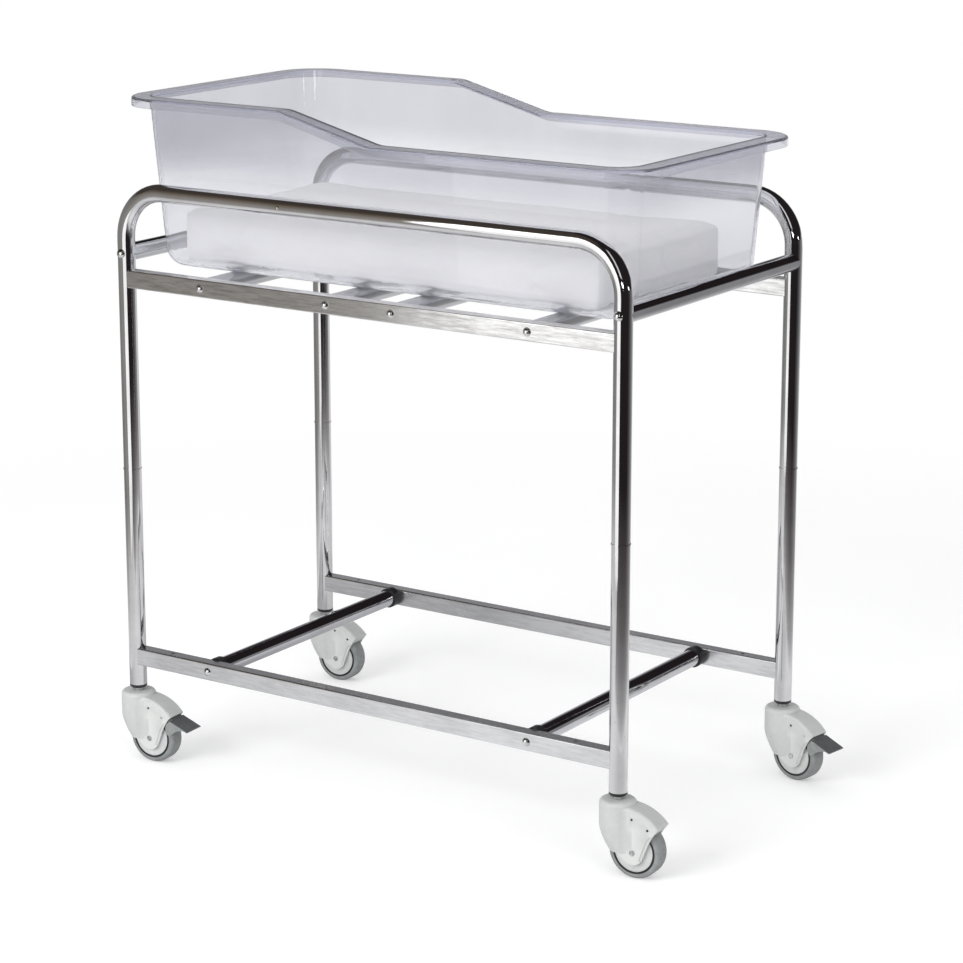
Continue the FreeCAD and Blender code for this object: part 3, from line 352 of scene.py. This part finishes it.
def paint(piece, material):
    """Gives every slot of a piece one material."""
    if not piece.material_slots:
        piece.data.materials.append(material)
    for slot in piece.material_slots:
        slot.link = "OBJECT"
        slot.material = material


along_x, along_y, along_z = (0.02, 1, 1), (1, 0.02, 1), (1, 1, 0.02)
chrome_hoop = chrome("chrome_hoop")
chrome_leg = chrome("chrome_leg", grain=along_z)
# The cross tubes' chrome has a darker tint: painted shade, for the shaded floor under the bassinet that
# they mirror.
chrome_cross_shaded = chrome("chrome_cross_shaded", tint=(0.66, 0.665, 0.69), dull=(0.55, 0.55, 0.57), grain=along_y)
tray_rail = brushed("tray_rail_plating", (0.88, 0.88, 0.88), (0.56, 0.55, 0.535), (0.12, 0.26), 0.7)
base_rail = brushed("base_rail_plating", (0.83, 0.835, 0.85), (0.70, 0.70, 0.71), (0.16, 0.28), 0.5)
bolt_steel = chrome("bolt_chrome", tint=(0.84, 0.84, 0.84), dull=(0.7, 0.7, 0.7))
zinc = steel("zinc_steel", (0.72, 0.72, 0.73))
stud_brass = steel("stud_brass", (0.72, 0.66, 0.55))
black_plastic = plastic("black_collar", (0.022, 0.022, 0.024), (0.012, 0.012, 0.013), (0.3, 0.5))
housing_plastic = plastic("castor_shell", (0.565, 0.58, 0.57), (0.515, 0.53, 0.52), (0.30, 0.46),
                          edge=(0.64, 0.65, 0.64))
hub_plastic = plastic("hub_shell", (0.61, 0.625, 0.62), (0.54, 0.55, 0.545), (0.3, 0.45))
tyre_rubber = rubber("tyre_rubber")
pedal_grey = pedal_plastic("pedal_grey")
tub_clear = clear_plastic("tub_clear")
cover = cover_cloth("mattress_cover_cloth")

ROLE_MATERIALS = (
    ("hoop_studs", stud_brass), ("_hoop", chrome_hoop),
    ("_lower_leg", chrome_leg), ("leg_seam_rings", chrome_leg),
    ("_tray_rail", tray_rail), ("_base_rail", base_rail), ("tray_tube_", chrome_cross_shaded),
    ("_end_tube", chrome_cross_shaded), ("_base_tube", chrome_cross_shaded), ("base_tube_collars", black_plastic),
    ("castor_collars", black_plastic), ("_bolts", bolt_steel), ("_housing", housing_plastic),
    ("_tyre", tyre_rubber), ("_hub_bearings", zinc), ("_hub", hub_plastic), ("_pedal_pin", zinc),
    ("_pedal", pedal_grey), ("tube_inserts", zinc), ("tub", tub_clear),
)
for name, node in nodes.items():
    paint(node, next((material for part, material in ROLE_MATERIALS if part in name), zinc))


# ---- Small mesh pieces ----
def spun_ring(name, profile, place, turn):
    """Spins an outline of (radius, sideways) points about a wheel's axle into a closed ring."""
    mesh = bmesh.new()
    points = [mesh.verts.new((radius, sideways, 0)) for radius, sideways in profile]
    outline = [mesh.edges.new((a, b)) for a, b in zip(points, points[1:] + points[:1])]
    bmesh.ops.spin(mesh, geom=points + outline, cent=(0, 0, 0), axis=(0, 1, 0), dvec=(0, 0, 0),
                   angle=2 * math.pi, steps=RING_STEPS, use_merge=True)
    bmesh.ops.remove_doubles(mesh, verts=mesh.verts, dist=0.001 * MM)
    bmesh.ops.recalc_face_normals(mesh, faces=mesh.faces)
    for vertex in mesh.verts:
        x, y, z = vertex.co
        vertex.co = (place.x + x * math.cos(turn) - y * math.sin(turn),
                     place.y + x * math.sin(turn) + y * math.cos(turn), place.z + z)
    data = bpy.data.meshes.new(name)
    mesh.to_mesh(data)
    mesh.free()
    data.shade_smooth()
    data.set_sharp_from_angle(angle=RING_SHARP_ANGLE)
    piece = bpy.data.objects.new(name, data)
    bpy.context.scene.collection.objects.link(piece)
    return piece


def middle(node):
    low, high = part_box(node)
    return (Vector(low) + Vector(high)) / 2


def both_sides(name, outline, centre, turn, material, body):
    """A small spun piece on the left and on the right of a wheel or castor."""
    for side, sign in (("left", -1), ("right", 1)):
        profile = [(radius * MM, sign * sideways * MM) for radius, sideways in outline]
        piece = spun_ring("%s_%s" % (name, side), profile, centre, turn)
        paint(piece, material)
        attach(piece, body)


joint_axes = {joint["name"]: joint["axis"] for joint in frame["joints"]}
# Black pieces for painted shade: a ring in each wheel's groove between hub and tyre, and fills in the
# castor's pin holes.
dark_shade = plastic("painted_shade_black", (0.016, 0.016, 0.017), (0.009, 0.009, 0.01), (0.35, 0.55))
for corner in CORNERS:
    axis = Vector(joint_axes[corner + "_wheel_spin"])
    trail = Vector((axis.y, -axis.x, 0))
    turn = math.atan2(trail.y, trail.x)
    axle = middle(corner + "_tyre")
    both_sides(corner + "_rim_seal", GROOVE_SHADE_RING, axle, turn, dark_shade, corner + "_wheel")
    both_sides(corner + "_axle_rivet", RIVET_CUP, axle, turn, zinc, corner + "_castor")
    for number, (along, up) in enumerate(PIN_HOLES, start=1):
        place = axle + trail * along * MM + Vector((0, 0, up * MM))
        name = "%s_pin_%d" % (corner, number)
        # The braked castors' second hole shows a zinc pin; the other holes get black fills, painted shade.
        if number == 2 and corner in BRAKED:
            both_sides(name, HOLE_FILL, place, turn, zinc, corner + "_castor")
        else:
            both_sides(name, HOLE_FILL, place, turn, dark_shade, corner + "_castor")


# ---- Mattress ----
def mattress_block(low, high):
    """A block with rounded corners, a little smaller than its place, ready to be blown up."""
    size = high - low - Vector((2, 2, 1)) * MATTRESS_START_INSET
    centre = (low + high) / 2
    mesh = bmesh.new()
    bmesh.ops.create_cube(mesh, size=1.0)
    for vertex in mesh.verts:
        vertex.co = Vector((vertex.co.x * size.x, vertex.co.y * size.y, vertex.co.z * size.z))
    upright = [edge for edge in mesh.edges if abs((edge.verts[0].co - edge.verts[1].co).z) > size.z / 2]
    bmesh.ops.bevel(mesh, geom=upright, offset=MATTRESS_CORNER_R, segments=8, affect="EDGES", profile=0.5)
    level = [edge for edge in mesh.edges if abs((edge.verts[0].co - edge.verts[1].co).z) < 1e-6
             and edge.calc_face_angle(0) > math.radians(60)]
    bmesh.ops.bevel(mesh, geom=level, offset=MATTRESS_EDGE_R, segments=4, affect="EDGES", profile=0.5)
    for vertex in mesh.verts:
        vertex.co += centre
    data = bpy.data.meshes.new("mattress_soft")
    mesh.to_mesh(data)
    mesh.free()
    piece = bpy.data.objects.new("mattress_soft", data)
    bpy.context.scene.collection.objects.link(piece)
    return piece


def apply_all(piece):
    """Turns the piece's modifiers into its mesh."""
    graph = bpy.context.evaluated_depsgraph_get()
    data = bpy.data.meshes.new_from_object(piece.evaluated_get(graph))
    piece.modifiers.clear()
    piece.data = data


def blow_up(piece):
    """Cloth under pressure, run for a few frames; each point may move by the cap at most."""
    start = [vertex.co.copy() for vertex in piece.data.vertices]
    cloth = piece.modifiers.new("Cloth", "CLOTH")
    cloth.settings.use_pressure = True
    cloth.settings.uniform_pressure_force = MATTRESS_PRESSURE
    cloth.settings.effector_weights.gravity = 0
    cloth.settings.tension_stiffness = 60
    cloth.settings.compression_stiffness = 60
    cloth.settings.bending_stiffness = 3
    scene = bpy.context.scene
    for number in range(1, MATTRESS_FRAMES + 1):
        scene.frame_set(number)
    apply_all(piece)
    scene.frame_set(1)
    for vertex, before in zip(piece.data.vertices, start):
        move = vertex.co - before
        if move.length > MATTRESS_SWELL_CAP:
            vertex.co = before + move.normalized() * MATTRESS_SWELL_CAP


def settle(piece, low, high):
    """Keeps the pad in its place: flat where it lies, off the tub's walls, and a little uneven above."""
    for vertex in piece.data.vertices:
        co = vertex.co
        co.x = min(max(co.x, low.x - MATTRESS_SIDE_SWELL), high.x + MATTRESS_SIDE_SWELL)
        co.y = min(max(co.y, low.y - MATTRESS_SIDE_SWELL), high.y + MATTRESS_SIDE_SWELL)
        co.z = max(co.z, low.z)
        lift = min(max((co.z - low.z) / (high.z - low.z), 0), 1)
        co.z += MATTRESS_WAVE * lift * noise.noise(Vector((co.x * 6, co.y * 6, 3.1)))
        co.z -= MATTRESS_CREASE * lift * abs(noise.noise(Vector((co.x * 17, co.y * 11, 9.4))))


low, high = (Vector(corner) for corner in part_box("mattress"))
mattress = mattress_block(low, high)
remesh = mattress.modifiers.new("Remesh", "REMESH")
remesh.mode = "VOXEL"
remesh.voxel_size = MATTRESS_VOXEL
remesh.use_smooth_shade = True
apply_all(mattress)
blow_up(mattress)
settle(mattress, low, high)
smooth = mattress.modifiers.new("Smooth", "SUBSURF")
smooth.levels = smooth.render_levels = 1
apply_all(mattress)
mattress.data.shade_smooth()
paint(mattress, cover)
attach(mattress, "mattress")
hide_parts("mattress")


# ---- Studio: floor, light and cards that only shiny surfaces see ----
def glow(name, colour, strength=1.0):
    material = bpy.data.materials.new(name)
    material.use_nodes = True
    tree = material.node_tree
    tree.nodes.clear()
    emission = tree.nodes.new("ShaderNodeEmission")
    emission.inputs["Color"].default_value = (*colour, 1)
    emission.inputs["Strength"].default_value = strength
    tree.links.new(emission.outputs[0], tree.nodes.new("ShaderNodeOutputMaterial").inputs["Surface"])
    return material


def ramp_glow(name, place, stops, sideways=None):
    """Glow by a place's value; stops are (value, colour) in rising order.

    sideways, if given, is ((angle, share), ...) and a colour: the glow turns to the colour by
    that share at that compass angle."""
    n = Nodes(name)
    colour = ramp_by(n, PLACES[place](n), stops)
    if sideways:
        shares, other = sideways
        share = ramp_by(n, PLACES["angle"](n), [(angle, (part, part, part)) for angle, part in shares])
        colour = n.mix(share, colour, other)
    emission = n.add("ShaderNodeEmission")
    n.link(colour, emission.inputs["Color"])
    n.link(emission.outputs["Emission"], n.output.inputs["Surface"])
    return n.material


def ramp_by(n, value, stops):
    first, last = stops[0][0], stops[-1][0]
    share = n.add("ShaderNodeMapRange")
    share.inputs["From Min"].default_value = first
    share.inputs["From Max"].default_value = last
    n.link(value, share.inputs["Value"])
    ramp = n.add("ShaderNodeValToRGB")
    elements = ramp.color_ramp.elements
    while len(elements) < len(stops):
        elements.new(1.0)
    for element, (place, colour) in zip(elements, stops):
        element.position = (place - first) / (last - first)
        element.color = (*colour, 1)
    n.link(share.outputs["Result"], ramp.inputs["Fac"])
    return ramp.outputs["Color"]


def stage_axes(n):
    split = n.add("ShaderNodeSeparateXYZ")
    n.link(n.coordinates.outputs["Object"], split.inputs["Vector"])
    return split.outputs["X"], split.outputs["Y"], split.outputs["Z"]


def distance_from_middle(n):
    x, y, z = stage_axes(n)
    return n.math("SQRT", n.math("ADD", n.math("MULTIPLY", x, x), n.math("MULTIPLY", y, y)), 0.0)


def compass_angle(n):
    """Angle from +X in degrees, -180 to 180."""
    x, y, z = stage_axes(n)
    return n.math("DEGREES", n.math("ARCTAN2", y, x), 0.0)


def elevation(n):
    """Angle above the studio's middle, in degrees."""
    x, y, z = stage_axes(n)
    rise = n.math("SUBTRACT", z, STUDIO_MIDDLE_Z)
    return n.math("DEGREES", n.math("ARCTAN2", rise, distance_from_middle(n)), 0.0)


PLACES = {"distance": distance_from_middle, "angle": compass_angle, "elevation": elevation}


def stage_mesh(name, columns, material):
    """A sheet between two rows of points, given as pairs."""
    mesh = bmesh.new()
    pairs = [(mesh.verts.new(a), mesh.verts.new(b)) for a, b in columns]
    for (a, b), (c, d) in zip(pairs, pairs[1:]):
        mesh.faces.new((a, c, d, b))
    data = bpy.data.meshes.new(name)
    mesh.to_mesh(data)
    mesh.free()
    data.materials.append(material)
    piece = bpy.data.objects.new(name, data)
    bpy.context.scene.collection.objects.link(piece)
    return piece


def card(name, columns, material):
    """Part of the studio that only shows in shiny surfaces."""
    piece = stage_mesh(name, columns, material)
    piece.visible_camera = False
    piece.visible_diffuse = False
    piece.visible_transmission = False
    piece.visible_shadow = False


def round_angles(start, end):
    steps = max(2, round((end - start) / 4))
    return [math.radians(start + (end - start) * step / steps) for step in range(steps + 1)]


def wall_card(name, start, end, low, high, material, radius=STUDIO_R):
    """A curved wall between two compass angles and two elevations."""
    foot, top = (STUDIO_MIDDLE_Z + radius * math.tan(math.radians(angle)) for angle in (low, high))
    columns = []
    for angle in round_angles(start, end):
        x, y = radius * math.cos(angle), radius * math.sin(angle)
        columns.append(((x, y, max(foot, 0)), (x, y, top)))
    card(name, columns, material)


def floor_card(name, start, end, inner, outer, material):
    """A sector of the floor between two radii."""
    columns = []
    for angle in round_angles(start, end):
        x, y = math.cos(angle), math.sin(angle)
        columns.append(((inner * x, inner * y, FLOOR_CARD_Z), (outer * x, outer * y, FLOOR_CARD_Z)))
    card(name, columns, material)


BLACK, DEEP = (0.019, 0.015, 0.016), (0.055, 0.045, 0.039)
EDGE_GREY = (0.78, 0.78, 0.785)     # of every floor sector where it meets the near floor
# A glowing card that only shiny surfaces see: a painted reflection of a soft box.
card("soft_box", [((x, y, SOFT_BOX_Z[0]), (x, y, SOFT_BOX_Z[1])) for x, y in SOFT_BOX_ENDS],
     ramp_glow("soft_box_glow", "elevation", (
         (-24, (0.95, 0.95, 0.95)), (-16, (1.2, 1.2, 1.2)), (-2, (1.15, 1.15, 1.15)), (6, (1.7, 1.7, 1.68)),
         (30, (2.2, 2.2, 2.15)))))

# Two narrow glowing cards, not lamps, whose images are painted highlights in the tub's far corner.
wall_card("strip_narrow", 4, 7, 4.0, 8.5, glow("strip_narrow_glow", (1.0, 1.0, 1.0), 12.0), STRIP_R)
wall_card("strip_wide", -60, -50, 4.0, 8.5, glow("strip_wide_glow", (1.0, 1.0, 1.0), 7.0), STRIP_R)
# A dimmer one above it paints the thin light line on the hoops' bends.
wall_card("strip_high", -60, -46, 14, 56, glow("strip_high_glow", (0.78, 0.78, 0.80)), STRIP_R)

# Right: black, opening to grey towards the back where it is low.
right_shares = ((-85, 0.0), (-4, 0.0), (18, 0.09), (32, 0.20), (48, 0.34), (70, 0.55))
right_grey = (right_shares, (0.72, 0.72, 0.73))
wall_card("right_low", -85, 70, -90, 2, ramp_glow(
    "right_low_glow", "elevation", ((-12, BLACK), (2, BLACK)), right_grey))
wall_card("right_high", -85, 48, 2, STUDIO_ROOF, glow("right_high_glow", BLACK))
wall_card("back_high", 48, 82, 2, STUDIO_ROOF, ramp_glow("back_high_glow", "elevation", (
    (2, (0.40, 0.40, 0.41)), (5, (0.16, 0.155, 0.16)), (10, BLACK), (60, BLACK))))
wall_card("back_pale", 82, 140, 0, STUDIO_ROOF, ramp_glow("back_pale_glow", "elevation", (
    (0, (0.62, 0.62, 0.63)), (8, (0.34, 0.34, 0.35)), (13, (0.24, 0.24, 0.25)),
    (20, (0.11, 0.11, 0.115)), (26, BLACK), (60, BLACK))))
wall_card("back_left", 140, 210, -90, STUDIO_ROOF, ramp_glow("back_left_glow", "elevation", (
    (-10, (0.26, 0.26, 0.255)), (12, (0.20, 0.20, 0.195)), (22, DEEP), (60, DEEP))))
wall_card("front", 210, 275, -90, STUDIO_ROOF, ramp_glow("front_glow", "elevation", (
    (-8, (0.27, 0.255, 0.24)), (5, (0.22, 0.197, 0.17)), (17, (0.165, 0.138, 0.108)),
    (27, (0.105, 0.086, 0.066)), (37, DEEP), (60, DEEP))))
roof_z = STUDIO_MIDDLE_Z + STUDIO_R * math.tan(math.radians(STUDIO_ROOF))
card("roof", [((-STUDIO_R, -STUDIO_R, roof_z), (STUDIO_R, -STUDIO_R, roof_z)),
              ((-STUDIO_R, STUDIO_R, roof_z), (STUDIO_R, STUDIO_R, roof_z))], glow("roof_glow", BLACK))
# The floor under the object as metal mirrors it, greyer in some directions: painted shade on that floor.
floor_card("floor_near", -180, 180, 0.0, FLOOR_NEAR_R, ramp_glow("floor_near_glow", "angle", tuple(
    (angle, (grey, grey, grey + 0.01)) for angle, grey in (
        (-180, 0.42), (-150, 0.50), (-125, 0.74), (-95, 0.86), (-70, 0.80), (-45, 0.62), (-20, 0.62),
        (5, 0.80), (30, 0.80), (60, 0.70), (120, 0.60), (180, 0.42)))))
floor_card("floor_right", -85, 70, FLOOR_NEAR_R, STUDIO_R, ramp_glow("floor_right_glow", "distance", (
    (FLOOR_NEAR_R, EDGE_GREY), (1.05, (0.42, 0.42, 0.42)), (1.25, (0.25, 0.24, 0.24)),
    (1.5, (0.14, 0.13, 0.13)), (1.9, (0.07, 0.06, 0.06)), (2.4, BLACK), (5.0, BLACK)), right_grey))
floor_card("floor_back", 70, 120, FLOOR_NEAR_R, STUDIO_R, glow("floor_back_glow", (0.72, 0.72, 0.73)))
floor_card("floor_back_left", 120, 150, FLOOR_NEAR_R, STUDIO_R, ramp_glow(
    "floor_back_left_glow", "distance", (
    (FLOOR_NEAR_R, EDGE_GREY), (1.5, (0.48, 0.48, 0.485)), (5.0, (0.36, 0.36, 0.365)))))
floor_card("floor_left", 150, 210, FLOOR_NEAR_R, STUDIO_R, ramp_glow("floor_left_glow", "distance", (
    (FLOOR_NEAR_R, EDGE_GREY), (1.5, (0.40, 0.40, 0.395)), (2.0, (0.22, 0.22, 0.215)),
    (5.0, (0.24, 0.24, 0.235)))))
floor_card("floor_front", 210, 275, FLOOR_NEAR_R, STUDIO_R, ramp_glow("floor_front_glow", "distance", (
    (FLOOR_NEAR_R, EDGE_GREY), (1.4, (0.62, 0.61, 0.60)), (1.9, (0.30, 0.285, 0.27)),
    (5.0, (0.27, 0.255, 0.24)))))


def floor_material():
    """Pale floor that is white to the camera, in metal and through the tub, and keeps the shadow."""
    n = Nodes("floor_pale")
    grain = n.noise(3.0, 3.0, 0.5)
    diffuse = n.add("ShaderNodeBsdfDiffuse")
    n.link(n.ramp(grain, (0.78, 0.78, 0.785), (0.80, 0.80, 0.80)), diffuse.inputs["Color"])
    path = n.add("ShaderNodeLightPath")
    seen = n.math("MAXIMUM", path.outputs["Is Camera Ray"], path.outputs["Is Transmission Ray"])
    seen = n.math("MAXIMUM", seen, path.outputs["Is Glossy Ray"])
    far = n.add("ShaderNodeMapRange")
    far.inputs["From Min"].default_value = FLOOR_WHITE_FROM
    far.inputs["From Max"].default_value = FLOOR_WHITE_TO
    n.link(distance_from_middle(n), far.inputs["Value"])
    white = n.add("ShaderNodeEmission")
    edge = n.add("ShaderNodeMixShader")
    n.link(n.math("MULTIPLY", seen, far.outputs["Result"]), edge.inputs["Fac"])
    n.link(diffuse.outputs["BSDF"], edge.inputs[1])
    n.link(white.outputs["Emission"], edge.inputs[2])
    lift = n.add("ShaderNodeEmission")
    near = n.math("SUBTRACT", 1.0, far.outputs["Result"])
    n.link(n.math("MULTIPLY", n.math("MULTIPLY", seen, near), FLOOR_LIFT), lift.inputs["Strength"])
    both = n.add("ShaderNodeAddShader")
    n.link(edge.outputs["Shader"], both.inputs[0])
    n.link(lift.outputs["Emission"], both.inputs[1])
    n.link(both.outputs["Shader"], n.output.inputs["Surface"])
    return n.material


stage_mesh("floor", [((x, -FLOOR_SIZE, 0), (x, FLOOR_SIZE, 0)) for x in (-FLOOR_SIZE, FLOOR_SIZE)],
           floor_material())


def soft_lamp(name, place, target, size, power):
    lamp = bpy.data.lights.new(name, "AREA")
    lamp.shape = "RECTANGLE"
    lamp.size, lamp.size_y = size
    lamp.energy = power
    piece = bpy.data.objects.new(name, lamp)
    piece.location = place
    piece.rotation_euler = (Vector(target) - Vector(place)).to_track_quat("-Z", "Y").to_euler()
    piece.visible_glossy = False
    piece.visible_transmission = False
    bpy.context.scene.collection.objects.link(piece)


for lamp_facts in LAMPS:
    soft_lamp(*lamp_facts)


def make_world():
    """Even light for the scene, white to the camera, to metal and through the tub."""
    world = bpy.data.worlds.new("studio")
    bpy.context.scene.world = world
    world.use_nodes = True
    tree = world.node_tree
    tree.nodes.clear()
    path = tree.nodes.new("ShaderNodeLightPath")
    seen = tree.nodes.new("ShaderNodeMath")
    seen.operation = "MAXIMUM"
    clear = tree.nodes.new("ShaderNodeMath")
    clear.operation = "MAXIMUM"
    tree.links.new(path.outputs["Is Camera Ray"], seen.inputs[0])
    tree.links.new(path.outputs["Is Glossy Ray"], seen.inputs[1])
    tree.links.new(seen.outputs[0], clear.inputs[0])
    tree.links.new(path.outputs["Is Transmission Ray"], clear.inputs[1])
    strength = tree.nodes.new("ShaderNodeMapRange")
    strength.inputs["To Min"].default_value = WORLD_FILL
    strength.inputs["To Max"].default_value = 1.0
    tree.links.new(clear.outputs[0], strength.inputs["Value"])
    background = tree.nodes.new("ShaderNodeBackground")
    tree.links.new(strength.outputs["Result"], background.inputs["Strength"])
    background.inputs["Color"].default_value = (1, 1, 1, 1)
    tree.links.new(background.outputs[0], tree.nodes.new("ShaderNodeOutputWorld").inputs["Surface"])


make_world()

camera = bpy.data.objects.new("camera", bpy.data.cameras.new("camera"))
bpy.context.scene.collection.objects.link(camera)
camera.location = CAMERA_PLACE
camera.rotation_euler = (math.pi / 2 - CAMERA_DOWN, 0, CAMERA_HEADING)
camera.data.lens = CAMERA_LENS
camera.data.sensor_width = 36.0
camera.data.shift_y = CAMERA_SHIFT_Y
camera.data.clip_end = 100
bpy.context.scene.camera = camera
bpy.context.scene.view_settings.view_transform = "Standard"
